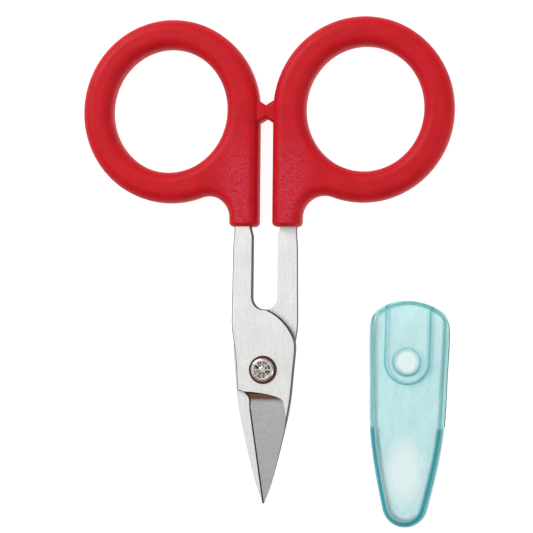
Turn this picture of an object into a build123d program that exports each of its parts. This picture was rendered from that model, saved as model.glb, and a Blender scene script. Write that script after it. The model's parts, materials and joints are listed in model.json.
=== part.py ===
"""Thread snips, 4 1/2 inch: two steel halves on a rivet, moulded finger grips, and a slip-on blade cover.

Millimetres, +Z up. The snips lie closed on the table with their handles towards +Y and their blades
towards -Y, and the cover lies beside the blades. The origin is the centre of the whole set's footprint,
at table height.
"""

import math
import os

from build123d import *

# ---------------------------------------------------------------- driving dimensions
# Heights. Both halves meet at the middle height, so each one is the other turned over.
middle_height = 3.5
grip_thickness = 7.0
steel_thickness = 2.2
blade_gap = 0.06
pivot_y = -23.5

# One steel half, with x from the snips' centre line and y from the pivot.
shank_inner_x = 2.8
shank_outer_x = 7.6
neck_outer_x = 7.15
neck_inner_x = 3.4
neck_y = 32.0
neck_length = 3.0
inner_neck_length = 2.3
shank_taper = 0.22
shank_straight_from_y = 12.0
throat_y = 14.15
throat_round_end_x = 0.95
throat_round_drop = 0.21
shoulder_x = 7.3
shoulder_y = 7.0
choil_y = -4.95
choil_left_x = 6.0
ricasso_x = 3.6
ricasso_top_y = -8.0
choil_round_end_x = 5.3
edge_start_y = -9.5
edge_start_x = 3.5
tip_y = -31.35
tip_x = 0.2
face_edge_chamfer = 0.2

# The ground bevel on each blade's outer face.
grind_width = 8.7
grind_wheel_edge_radius = 2.6
cutting_land = 0.12

# The tang that the grip is moulded on.
tang_inner_x = 3.5
tang_outer_x = 6.9
tang_top_y = 58.0
tang_taper_length = 1.2
tang_hole_radius = 1.0
tang_hole_spacing = 9.0

# Finger grips, in the same x and y.
ring_x = 23.0
ring_y = 61.15
ring_outer_half_height = 21.85
hole_x = 23.35
hole_y = 61.28
hole_half_width = 14.0
hole_half_height = 14.72
stem_inner_x = 1.65
stem_outer_x = 8.65
foot_y = 33.65
foot_corner_radius = 1.1
web_fillet = 5.2
grip_edge_round = 2.7
stop_y = 60.75
stop_base = 5.2
stop_face = 3.2
stop_height = 4.4
stop_edge_round = 0.9
stop_gap = 0.05

# Pivot rivet and the washer under its staked head.
rivet_shank_radius = 1.8
rivet_running_clearance = 0.05
washer_radius = 3.3
washer_thickness = 0.35
washer_chamfer = 0.12
staked_head_radius = 2.75
staked_head_height = 0.9
staked_head_chamfer = 0.3
stake_count = 8
stake_circle_radius = 1.45
stake_outer_width = 0.95
stake_length = 1.1
stake_side_angle = 80
stake_taper = 25
stake_depth = 0.35
factory_head_radius = 2.9
factory_head_height = 0.8
factory_head_flat_radius = 1.6
factory_head_edge = 0.3
factory_dome_x = 2.44
factory_dome_rise = 0.17

# Blade cover. y runs from the mouth's crest towards the closed end, down the cover's own length.
cover_x = 34.1
cover_y = -21.3
cover_lean = 1.13
cover_thickness = 7.2
cover_wall = 0.9
cover_edge_round = 2.1
crest_to_boss = 14.1
mouth_half_width = 6.6
mouth_corner_drop = 1.9
mouth_crown_x = 4.1
mouth_crown_drop = 0.7
widest_half_width = 9.25
widest_drop = 7.9
upper_half_width = 8.95
upper_drop = 18.0
slit_end_half_width = 8.58
slit_end_drop = 29.0
slit_height = 2.4
lower_half_width = 6.33
lower_drop = 43.0
end_radius = 5.25
end_side_angle = 14
cover_length = 52.306
channel_half_width = 5.3
channel_rise = 1.2
channel_edge_round = 0.5
boss_radius = 3.15
boss_rise = 0.3
boss_edge_round = 0.25

# ---------------------------------------------------------------- planes
flat_face = blade_gap / 2
front_flat = Plane((0, pivot_y, middle_height + flat_face))
middle_plane = Plane((0, pivot_y, middle_height))
grip_underside = Plane((0, pivot_y, middle_height - grip_thickness / 2))
lean = math.radians(cover_lean)
cover_base = Plane(
    origin=(cover_x, cover_y, 0),
    x_dir=(math.cos(lean), -math.sin(lean), 0),
    z_dir=(0, 0, 1),
)
cover_base_x_axis = Axis((0, 0, 0), cover_base.x_dir)


def turned_over():
    """Where a front-half piece goes to become its back-half twin: half a turn about the centre line."""
    return Locations((0, 0, 2 * middle_height))


# ---------------------------------------------------------------- steel halves
# The bevel climbs square to the cutting edge, from a thin land to the full thickness.
edge_run = Vector(-tip_x + edge_start_x, tip_y - edge_start_y, 0)
climb_direction = Vector(-edge_run.Y, edge_run.X, 0).normalized()
climb = (steel_thickness - cutting_land) / grind_width
bevel_plane = Plane(
    origin=(-edge_start_x, pivot_y + edge_start_y, middle_height + flat_face + cutting_land),
    x_dir=(1, 0, climb * climb_direction.X),
    z_dir=(-climb * climb_direction.X, -climb * climb_direction.Y, 1),
)

# What the grinding wheel takes away: everything over the bevel plane, below the choil.
with BuildPart() as grinding_wheel:
    with BuildSketch(bevel_plane):
        with Locations((0, choil_y - edge_start_y)):
            Rectangle(60, 60, align=(Align.CENTER, Align.MAX))
    extrude(amount=20)
    wheel_edge = (
        grinding_wheel.edges()
        .filter_by(Axis((0, 0, 0), bevel_plane.x_dir))
        .group_by(Axis.Y)[-1]
        .sort_by(Axis.Z)[0]
    )
    fillet(wheel_edge, radius=grind_wheel_edge_radius)

# Handle on the left, blade on the right, flat face at the middle of the snips.
with BuildPart() as half_blade:
    with BuildSketch(front_flat):
        with BuildLine():
            throat = (0, throat_y)
            u_start = (-shank_inner_x, throat_y + shank_inner_x)
            tang_start = (-neck_inner_x, foot_y)
            inner_neck_start = (-shank_inner_x, foot_y - inner_neck_length)
            Line((-tang_inner_x, foot_y + tang_taper_length), tang_start)
            Line(tang_start, inner_neck_start)
            Line(inner_neck_start, u_start)
            CenterArc((0, throat_y + shank_inner_x), shank_inner_x, 180, 90)
            throat_round_end = (throat_round_end_x, throat_y - throat_round_drop)
            throat_round = TangentArc(throat, throat_round_end, tangent=(1, 0))
            shoulder = TangentArc(throat_round @ 1, (shoulder_x, shoulder_y), tangent=throat_round % 1)
            Spline(
                shoulder @ 1,
                (7.33, 2.4),
                (6.4, -7.4),
                (4.3, -17.5),
                (2.5, -24.6),
                (tip_x, tip_y),
                tangents=[shoulder % 1, (-1.3, -3.2)],
            )
            edge_start = (-edge_start_x, edge_start_y)
            Line((tip_x, tip_y), (-tip_x, tip_y + 0.1))
            Line((-tip_x, tip_y + 0.1), edge_start)
            ricasso_top = (-ricasso_x, ricasso_top_y)
            Line(edge_start, ricasso_top)
            choil_start = (-choil_round_end_x, choil_y)
            ThreePointArc(ricasso_top, (-4.2, -5.75), choil_start)
            choil_corner = (-choil_left_x, choil_y)
            Line(choil_start, choil_corner)
            straight_end = (-shank_outer_x, shank_straight_from_y)
            taper_run = neck_y - neck_length - shank_straight_from_y
            taper_direction = (shank_taper, taper_run)
            Spline(choil_corner, (-6.72, 4.3), straight_end, tangents=[(-0.1, 1), taper_direction])
            neck_start = (-shank_outer_x + shank_taper, neck_y - neck_length)
            Line(straight_end, neck_start)
            neck_end = (-neck_outer_x, neck_y)
            Line(neck_start, neck_end)
            Line(neck_end, (-neck_outer_x, foot_y))
            Line((-neck_outer_x, foot_y), (-tang_outer_x, foot_y + tang_taper_length))
            tang_half = (tang_outer_x - tang_inner_x) / 2
            tang_shoulder_y = tang_top_y - tang_half
            Line((-tang_outer_x, foot_y + tang_taper_length), (-tang_outer_x, tang_shoulder_y))
            ThreePointArc(
                (-tang_outer_x, tang_shoulder_y),
                (-tang_outer_x + tang_half, tang_top_y),
                (-tang_inner_x, tang_shoulder_y),
            )
            Line((-tang_inner_x, tang_shoulder_y), (-tang_inner_x, foot_y + tang_taper_length))
        make_face()
    extrude(amount=steel_thickness)
    outer_face_edges = half_blade.faces().sort_by(Axis.Z)[-1].edges()
    chamfer(outer_face_edges, length=face_edge_chamfer)
    add(grinding_wheel.part, mode=Mode.SUBTRACT)
    with BuildSketch(front_flat):
        tang_centre_x = -(tang_outer_x + tang_inner_x) / 2
        with Locations((tang_centre_x, (foot_y + tang_top_y) / 2 + 2)):
            with GridLocations(0, tang_hole_spacing, 1, 2):
                Circle(tang_hole_radius)
    extrude(amount=steel_thickness, mode=Mode.SUBTRACT)

with BuildPart() as front_blade:
    add(half_blade.part)
    with BuildSketch(middle_plane):
        Circle(rivet_shank_radius)
    extrude(amount=grip_thickness, both=True, mode=Mode.SUBTRACT)

with BuildPart() as back_blade:
    with turned_over():
        add(half_blade.part, rotation=(0, 180, 0))
    with BuildSketch(middle_plane):
        Circle(rivet_shank_radius + rivet_running_clearance)
    extrude(amount=grip_thickness, both=True, mode=Mode.SUBTRACT)

# ---------------------------------------------------------------- finger grips
# The stop meets its twin's when the snips close.
with BuildPart() as stop:
    with BuildSketch(middle_plane):
        with Locations((-stem_inner_x, stop_y)):
            Polygon(
                (-1, -stop_base / 2),
                (0, -stop_base / 2),
                (stem_inner_x - stop_gap / 2, -stop_face / 2),
                (stem_inner_x - stop_gap / 2, stop_face / 2),
                (0, stop_base / 2),
                (-1, stop_base / 2),
                align=None,
            )
    extrude(amount=stop_height / 2, both=True)
    stop_outline = stop.faces().filter_by(Axis.Z).edges()
    fillet(stop_outline.filter_by(Axis.Y, reverse=True), radius=stop_edge_round)

# A ring with a straight stem down its inner side, and the stop on the stem.
with BuildPart() as left_grip:
    with BuildSketch(grip_underside):
        with Locations((-ring_x, ring_y)):
            Ellipse(ring_x - stem_inner_x, ring_outer_half_height)
        with Locations((-stem_outer_x, ring_y)):
            Rectangle(
                stem_outer_x - stem_inner_x,
                ring_y - foot_y + grip_thickness,
                align=(Align.MIN, Align.MAX),
            )
        with Locations((-hole_x, hole_y)):
            Ellipse(hole_half_width, hole_half_height, mode=Mode.SUBTRACT)
        web_corner = vertices().filter_by_position(Axis.X, -stem_outer_x - 0.1, -stem_outer_x + 0.1)
        fillet(web_corner.sort_by(Axis.Y)[-1], radius=web_fillet)
    extrude(amount=grip_thickness)
    long_edges = left_grip.faces().filter_by(Axis.Z).edges().filter_by(Axis.X, reverse=True)
    fillet(long_edges, radius=grip_edge_round)
    # The stem is drawn too long and cut square, so that its foot shows the rounded section.
    with BuildSketch(grip_underside):
        with Locations((-ring_x, foot_y)):
            Rectangle(4 * ring_x, 40, align=(Align.CENTER, Align.MAX))
    extrude(amount=grip_thickness, mode=Mode.SUBTRACT)
    fillet(left_grip.faces().sort_by(Axis.Y)[0].edges(), radius=foot_corner_radius)
    add(stop.part)

with BuildPart() as right_grip:
    with turned_over():
        add(left_grip.part, rotation=(0, 180, 0))
    add(back_blade.part, mode=Mode.SUBTRACT)

# The steel sits in a pocket of its own shape, and the plastic runs through the tang's two holes.
with BuildPart() as moulded_left_grip:
    add(left_grip.part)
    add(front_blade.part, mode=Mode.SUBTRACT)

# ---------------------------------------------------------------- pivot
front_steel_top = flat_face + steel_thickness
back_steel_bottom = -front_steel_top - rivet_running_clearance
head_bottom = front_steel_top + washer_thickness
head_top = head_bottom + staked_head_height
rivet_axis_plane = Plane(origin=(0, pivot_y, middle_height), x_dir=(1, 0, 0), z_dir=(0, -1, 0))

with BuildPart() as pivot_washer:
    with BuildSketch(middle_plane.offset(front_steel_top)):
        Circle(washer_radius)
        Circle(rivet_shank_radius, mode=Mode.SUBTRACT)
    extrude(amount=washer_thickness)
    upper_rim = pivot_washer.edges().group_by(Axis.Z)[-1].sort_by(SortBy.RADIUS)[-1]
    chamfer(upper_rim, length=washer_chamfer)

with BuildPart() as pivot_rivet:
    with BuildSketch(rivet_axis_plane):
        with BuildLine():
            factory_bottom = back_steel_bottom - factory_head_height
            Polyline(
                (factory_head_flat_radius, factory_bottom),
                (0, factory_bottom),
                (0, head_top),
                (staked_head_radius - staked_head_chamfer, head_top),
                (staked_head_radius, head_top - staked_head_chamfer),
                (staked_head_radius, head_bottom),
                (rivet_shank_radius, head_bottom),
                (rivet_shank_radius, back_steel_bottom),
                (factory_head_radius, back_steel_bottom),
                (factory_head_radius, back_steel_bottom - factory_head_edge),
            )
            ThreePointArc(
                (factory_head_radius, back_steel_bottom - factory_head_edge),
                (factory_dome_x, factory_bottom + factory_dome_rise),
                (factory_head_flat_radius, factory_bottom),
            )
        make_face()
    revolve(axis=Axis((0, pivot_y, 0), (0, 0, 1)))
    # The star punch leaves a ring of wedge-shaped dents round a small centre nub.
    with BuildSketch(middle_plane.offset(head_top)):
        with PolarLocations(stake_circle_radius, stake_count, start_angle=360 / stake_count / 2):
            Trapezoid(stake_outer_width, stake_length, stake_side_angle, rotation=90)
    extrude(amount=-stake_depth, taper=stake_taper, mode=Mode.SUBTRACT)

# ---------------------------------------------------------------- blade cover
# Half outlines are drawn on the right and mirrored. In the cover's own plane the boss is at the origin.
crest_y = crest_to_boss
mouth_corner_y = crest_y - mouth_corner_drop
widest_y = crest_y - widest_drop
upper_y = crest_y - upper_drop
slit_end_y = crest_y - slit_end_drop
lower_y = crest_y - lower_drop
closed_end_y = crest_y - cover_length
mouth_reach = 10.0


def cover_outline(inset):
    """The cover's outline, drawn smaller by inset, with its open end carried past the mouth."""
    end_centre_y = closed_end_y + end_radius
    end_slope = math.radians(end_side_angle)
    widest = (widest_half_width - inset, widest_y)
    with BuildSketch() as outline:
        with BuildLine():
            Polyline((0, crest_y + mouth_reach), (widest[0], crest_y + mouth_reach), widest)
            Spline(
                widest,
                (upper_half_width - inset, upper_y),
                (slit_end_half_width - inset, slit_end_y),
                (lower_half_width - inset, lower_y),
                (
                    (end_radius - inset) * math.cos(end_slope),
                    end_centre_y - (end_radius - inset) * math.sin(end_slope),
                ),
                tangents=[(0, -1), (-math.sin(end_slope), -math.cos(end_slope))],
            )
            CenterArc((0, end_centre_y), end_radius - inset, -end_side_angle, end_side_angle - 90)
            Line((0, closed_end_y + inset), (0, crest_y + mouth_reach))
        make_face()
        mirror(about=Plane.YZ)
    return outline.sketch


outer_outline = cover_outline(0)
cavity_outline = cover_outline(cover_wall)

with BuildPart() as cavity:
    with BuildSketch(cover_base.offset(cover_wall)):
        add(cavity_outline)
    extrude(amount=cover_thickness - 2 * cover_wall)
    cavity_edges = cavity.faces().filter_by(Axis.Z).edges()
    fillet(cavity_edges.filter_by(cover_base_x_axis, reverse=True), radius=cover_edge_round - cover_wall)
    # Headroom for the rivet's head, from the mouth to the boss.
    with BuildSketch(cover_base.offset(cover_thickness / 2)):
        Circle(channel_half_width - cover_wall)
        Rectangle(
            2 * (channel_half_width - cover_wall),
            crest_y + mouth_reach,
            align=(Align.CENTER, Align.MIN),
        )
    extrude(amount=cover_thickness / 2 - cover_wall + channel_rise)

with BuildPart() as blade_cover:
    with BuildSketch(cover_base):
        add(outer_outline)
    extrude(amount=cover_thickness)
    long_edges = blade_cover.faces().filter_by(Axis.Z).edges()
    fillet(long_edges.filter_by(cover_base_x_axis, reverse=True), radius=cover_edge_round)
    # Raised channel over the rivet's head, with a round boss at its closed end.
    with BuildSketch(cover_base.offset(cover_thickness / 2)):
        Circle(channel_half_width)
        Rectangle(
            2 * channel_half_width,
            crest_y + mouth_reach,
            align=(Align.CENTER, Align.MIN),
        )
    extrude(amount=cover_thickness / 2 + channel_rise)
    channel_rim = blade_cover.faces().sort_by(Axis.Z)[-1].edges()
    fillet(channel_rim.filter_by(cover_base_x_axis, reverse=True), radius=channel_edge_round)
    with BuildSketch(cover_base.offset(cover_thickness + channel_rise)):
        Circle(boss_radius)
    extrude(amount=boss_rise)
    fillet(blade_cover.faces().sort_by(Axis.Z)[-1].edges(), radius=boss_edge_round)
    add(cavity.part, mode=Mode.SUBTRACT)
    # The mouth is cut to one crowned curve with soft corners.
    with BuildSketch(cover_base):
        with BuildLine():
            mouth_corner = (mouth_half_width, mouth_corner_y)
            crest = ThreePointArc((0, crest_y), (mouth_crown_x, crest_y - mouth_crown_drop), mouth_corner)
            Spline(mouth_corner, (widest_half_width, widest_y), tangents=[crest % 1, (0, -1)])
            Polyline(
                (widest_half_width, widest_y),
                (widest_half_width + 1, widest_y),
                (widest_half_width + 1, closed_end_y - 1),
                (0, closed_end_y - 1),
                (0, crest_y),
            )
        make_face()
        mirror(about=Plane.YZ)
    extrude(amount=2 * cover_thickness, mode=Mode.INTERSECT)
    # A slit down each side lets the two faces spring apart over the blades.
    with BuildSketch(cover_base.offset((cover_thickness - slit_height) / 2)):
        with Locations((0, slit_end_y)):
            Rectangle(
                3 * widest_half_width,
                slit_end_drop + 5,
                align=(Align.CENTER, Align.MIN),
            )
    extrude(amount=slit_height, mode=Mode.SUBTRACT)

# ---------------------------------------------------------------- files
pieces = {
    "front_blade": front_blade.part,
    "back_blade": back_blade.part,
    "left_grip": moulded_left_grip.part,
    "right_grip": right_grip.part,
    "pivot_washer": pivot_washer.part,
    "pivot_rivet": pivot_rivet.part,
    "blade_cover": blade_cover.part,
}
os.makedirs("parts", exist_ok=True)
for name, piece in pieces.items():
    piece.label = name
    export_step(piece, f"parts/{name}.step")
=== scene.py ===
"""Thread snips with moulded finger grips, a staked rivet and a slip-on blade cover, as a Blender add-on.

Metres, +Z up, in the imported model's own frame. Run as a script, it finishes every piece and sets the stage.
"""

import json
import math

import bmesh
import bpy
from mathutils import Matrix, Vector


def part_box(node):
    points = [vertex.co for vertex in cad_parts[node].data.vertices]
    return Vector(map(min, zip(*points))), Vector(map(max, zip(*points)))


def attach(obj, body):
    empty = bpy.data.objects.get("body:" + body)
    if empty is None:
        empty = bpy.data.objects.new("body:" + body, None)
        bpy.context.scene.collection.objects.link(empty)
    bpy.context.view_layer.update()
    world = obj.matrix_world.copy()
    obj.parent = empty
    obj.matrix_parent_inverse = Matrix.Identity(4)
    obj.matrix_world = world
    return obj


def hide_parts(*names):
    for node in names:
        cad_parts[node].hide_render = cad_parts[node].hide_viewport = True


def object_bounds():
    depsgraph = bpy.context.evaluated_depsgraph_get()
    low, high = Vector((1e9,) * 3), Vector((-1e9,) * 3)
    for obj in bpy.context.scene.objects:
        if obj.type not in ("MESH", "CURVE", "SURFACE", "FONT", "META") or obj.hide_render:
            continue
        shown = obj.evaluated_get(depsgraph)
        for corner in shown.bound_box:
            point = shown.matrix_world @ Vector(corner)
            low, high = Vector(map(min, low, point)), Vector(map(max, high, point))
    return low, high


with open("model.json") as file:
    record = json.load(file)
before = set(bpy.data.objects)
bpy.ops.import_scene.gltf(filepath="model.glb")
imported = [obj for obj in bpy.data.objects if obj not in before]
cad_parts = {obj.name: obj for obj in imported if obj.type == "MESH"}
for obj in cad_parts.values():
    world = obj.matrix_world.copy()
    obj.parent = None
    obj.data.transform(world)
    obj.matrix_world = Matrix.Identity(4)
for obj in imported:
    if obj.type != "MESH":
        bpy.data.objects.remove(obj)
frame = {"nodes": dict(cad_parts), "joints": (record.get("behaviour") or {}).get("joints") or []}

bl_info = {
    "name": "Thread Snips",
    "version": (1, 0, 0),
    "blender": (4, 5, 0),
    "location": "3D View > Sidebar > Snips",
    "description": "Finishes the thread snips' steel, grips, pivot and blade cover, and sets a plain stage",
    "category": "Object",
}

MM = 0.001
CAD_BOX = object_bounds()
GRIP_BOXES = {name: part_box(name) for name in ("left_grip", "right_grip")}
MIDDLE_HEIGHT = (GRIP_BOXES["left_grip"][0].z + GRIP_BOXES["left_grip"][1].z) / 2
RIVET_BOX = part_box("pivot_rivet")
PIVOT_Y = (RIVET_BOX[0].y + RIVET_BOX[1].y) / 2
RIVET_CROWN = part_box("pivot_washer")[1].z + 0.8 * MM
# The front half's cutting edge, from below the choil to the tip, and the way from it into the blade.
EDGE_START = (-3.5 * MM, PIVOT_Y - 9.5 * MM, 0)
EDGE_END = (-0.2 * MM, PIVOT_Y - 31.25 * MM, 0)
EDGE_RUN = Vector(EDGE_END) - Vector(EDGE_START)
EDGE_INWARDS = Vector((-EDGE_RUN.y, EDGE_RUN.x, 0)).normalized()
# The choil, the small hollow between the cutting edge and the shank, is an arc about this centre.
CHOIL_CENTRE = (-6.33 * MM, PIVOT_Y - 7.52 * MM, 0)
CHOIL_RADIUS = 2.77 * MM
CHOIL_TOP = PIVOT_Y - 4.95 * MM
CHOIL_BOTTOM = PIVOT_Y - 8.3 * MM
FOOT_Y = GRIP_BOXES["left_grip"][0].y
# The cover's own axes: the boss is at the origin, and y runs up to the mouth, along the line it slides on.
COVER_LOW, COVER_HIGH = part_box("blade_cover")
COVER_PULL = next(joint for joint in frame["joints"] if joint["name"] == "cover_pull")["axis"]
COVER_LEAN = math.atan2(-COVER_PULL[0], -COVER_PULL[1])
COVER_MIDDLE = 3.6 * MM
# The box is not centred on the boss, because the cover leans and its mouth is wider than its end.
BOSS_OFFSET = 0.114 * MM
CREST_TO_BOSS = 14.1 * MM
# Depth of the flat top below the boss, and how far from the middle the cavity reaches.
TOP_SKIN = 1.8 * MM
CAVITY_REACH = 2.68 * MM
COVER_BOSS = ((COVER_LOW.x + COVER_HIGH.x) / 2 - BOSS_OFFSET, COVER_HIGH.y - CREST_TO_BOSS, 0)
COVER_TOP = COVER_HIGH.z
BOSS_RADIUS = 3.15 * MM
SLIT_END = -14.9 * MM
MOUTH_RADIUS = 12.4 * MM
CHANNEL_RADIUS = 5.3 * MM
MOUTH_CENTRE = CREST_TO_BOSS - MOUTH_RADIUS


def linear(hex_colour):
    """A colour given as sRGB hex, as the linear red, green, blue and alpha that Blender takes."""
    channels = [int(hex_colour[i : i + 2], 16) / 255 for i in (1, 3, 5)]
    straight = [c / 12.92 if c <= 0.04045 else ((c + 0.055) / 1.055) ** 2.4 for c in channels]
    return (*straight, 1.0)


def add_node(tree, kind, sockets=None, **settings):
    """Adds one node: its settings are set, and each socket gets a link from another socket or a value.

    A node given as a value stands for its first output.
    """
    made = tree.nodes.new(kind)
    for name, value in settings.items():
        setattr(made, name, value)
    for key, value in (sockets or {}).items():
        if isinstance(value, bpy.types.Node):
            value = value.outputs[0]
        if isinstance(value, bpy.types.NodeSocket):
            tree.links.new(value, made.inputs[key])
        else:
            made.inputs[key].default_value = value
    return made


def new_material(name):
    """An empty node material with its output, and its tree."""
    material = bpy.data.materials.new(name)
    material.use_nodes = True
    material.node_tree.nodes.clear()
    output = material.node_tree.nodes.new("ShaderNodeOutputMaterial")
    return material, material.node_tree, output


def give(piece, material):
    """Makes this the piece's only material."""
    piece.data.materials.clear()
    piece.data.materials.append(material)


def colour(name, description, default):
    """A colour property, with its default given as sRGB hex."""
    return bpy.props.FloatVectorProperty(
        name=name, description=description, subtype="COLOR", size=4, min=0, max=1, default=linear(default)
    )


def length(name, description, default):
    """A length property, with its default in metres."""
    return bpy.props.FloatProperty(
        name=name, description=description, subtype="DISTANCE", unit="LENGTH", default=default
    )


# ---------------------------------------------------------------- settings
class SnipsSteelSettings(bpy.types.PropertyGroup):
    """Colours and brushing of the two stamped steel halves"""

    face_colour: colour(
        name="Brushed Face", description="Colour of the lengthwise brushed flat faces", default="#E2E2E1"
    )
    bevel_colour: colour(
        name="Ground Bevel", description="Colour of the finely ground cutting bevel", default="#C0BEBF"
    )
    edge_colour: colour(
        name="Blanked Edge",
        description="Colour of the sheared edges, which are never polished",
        default="#5C5D66",
    )
    tip_side_reflection_colour: colour(
        name="Reflection on the Tip Side",
        description="Painted brown reflection on the grinding shoulder and the edges that face the tip",
        default="#A2745A",
    )
    shoulder_shade_colour: colour(
        name="Shade on the Shoulder",
        description="Painted darker shade where the grinding shoulder faces the tip most steeply",
        default="#4A2A30",
    )
    edge_shade_width: length(
        name="Shade Line Width",
        description="Width of the painted shade line along each cutting edge and the choil",
        default=0.46 * MM,
    )
    edge_shade_colour: colour(
        name="Cutting Edge Shade", description="Colour of the painted shade line along each cutting edge", default="#2E2222"
    )
    handle_side_shade_colour: colour(
        name="Shade on the Edges Towards the Handles",
        description="Painted shade on the sheared edges that face the handles",
        default="#303138",
    )
    brush_width: length(
        name="Brush Line Width", description="Width of one brush line across the blade", default=0.28 * MM
    )
    brush_length: length(
        name="Brush Line Length", description="Length of one brush line along the blade", default=6 * MM
    )


class SnipsGripSettings(bpy.types.PropertyGroup):
    """Colour and grain of the moulded finger grips"""

    colour: colour(name="Grip Colour", description="Body colour of the moulded grips", default="#C61220")
    mottle_colour: colour(
        name="Mottle Colour",
        description="Slightly darker colour where the pigment gathers",
        default="#BB0F1B",
    )
    grain_size: length(
        name="Grain Size",
        description="Width of one pebble of the mould's spark-eroded grain",
        default=0.55 * MM,
    )
    web_highlight_colour: colour(
        name="Web Grain Highlight",
        description="Painted highlight, paler pink, on the tops of the coarse grain on the web's flat faces",
        default="#C64862",
    )
    web_grain_size: length(
        name="Web Grain Size",
        description="Width of one pebble of the coarse grain on the web and stem",
        default=0.42 * MM,
    )
    parting_line_width: length(
        name="Parting Line Width",
        description="Width of the flash line where the mould's halves meet",
        default=0.16 * MM,
    )


class SnipsPivotSettings(bpy.types.PropertyGroup):
    """Size and colours of the staked rivet and its washer"""

    stake_count: bpy.props.IntProperty(
        name="Stake Dents",
        description="How many wedge dents the star punch leaves round the rivet's centre",
        min=4,
        max=12,
        default=8,
    )
    stake_depth: length(name="Stake Depth", description="Depth of each dent", default=0.45 * MM)
    dent_shade_colour: colour(
        name="Dent Shade",
        description="Colour of the painted shade in the star punch's dents",
        default="#3A2824",
    )
    rivet_colour: colour(
        name="Rivet", description="Colour of the bright upset rivet steel", default="#E2DAD5"
    )
    washer_colour: colour(name="Washer", description="Colour of the bronzed washer", default="#573B31")


class SnipsCoverSettings(bpy.types.PropertyGroup):
    """Tint of the see-through blade cover"""

    absorbed_tint: bpy.props.FloatVectorProperty(
        name="Tint in the Thickness",
        description="What is left of the light after a long way through the plastic",
        subtype="COLOR",
        size=4,
        min=0,
        max=1,
        default=(0.02, 0.885, 0.915, 1.0),
    )
    absorption: bpy.props.FloatProperty(
        name="Absorption per Metre", description="How fast the plastic takes up light", min=0, default=250
    )
    surface_colour: colour(
        name="Surface Haze", description="Colour of the milky haze at the surface", default="#FBFFFF"
    )
    wall_colour: colour(
        name="Wall Tint",
        description="Deep colour along the upright walls, where the eye looks through their whole height",
        default="#22AEBA",
    )
    slit_colour: colour(
        name="Slit Edge Tint",
        description="Lighter colour of the rounded edges beside the open slits",
        default="#8AD6D8",
    )
    boss_shade_and_channel_colour: colour(
        name="Boss Shade and Channel Tint",
        description="Painted shade round the boss's shoulder, and the tint along the channel's wall",
        default="#5FBEC6",
    )
    rim_colour: colour(
        name="Rim Tint", description="Colour of the thicker rim round the mouth", default="#5CC4BE"
    )
    rim_width: length(name="Rim Width", description="Width of the rim round the mouth", default=0.95 * MM)


class SnipsStageSettings(bpy.types.PropertyGroup):
    """Camera, floor and light"""

    camera_distance: length(
        name="Camera Distance", description="From the camera to the middle of the set", default=500 * MM
    )
    view_width: length(
        name="View Width", description="Width of the view at the middle of the set", default=125.52 * MM
    )
    tilt_right: bpy.props.FloatProperty(
        name="Tilt to the Right",
        description="How far the camera leans to +X from straight above",
        subtype="ANGLE",
        unit="ROTATION",
        default=math.radians(10.5),
    )
    tilt_back: bpy.props.FloatProperty(
        name="Tilt to the Handles",
        description="How far the camera leans to +Y from straight above",
        subtype="ANGLE",
        unit="ROTATION",
        default=math.radians(-2.5),
    )
    roll: bpy.props.FloatProperty(
        name="Roll",
        description="Turn of the camera about its own line of sight",
        subtype="ANGLE",
        unit="ROTATION",
        default=math.radians(0.55),
    )
    key_power: bpy.props.FloatProperty(
        name="Key Light Power",
        description="Power of the soft light at the upper left",
        subtype="POWER",
        unit="POWER",
        default=3.4,
    )
    floor_glow: bpy.props.FloatProperty(
        name="Floor Glow",
        description="Light that the floor gives back of its own, as a light table does",
        min=0,
        default=0.88,
    )


class SnipsSettings(bpy.types.PropertyGroup):
    """All of the snips' settings"""

    steel: bpy.props.PointerProperty(type=SnipsSteelSettings)
    grips: bpy.props.PointerProperty(type=SnipsGripSettings)
    pivot: bpy.props.PointerProperty(type=SnipsPivotSettings)
    cover: bpy.props.PointerProperty(type=SnipsCoverSettings)
    stage: bpy.props.PointerProperty(type=SnipsStageSettings)


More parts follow.
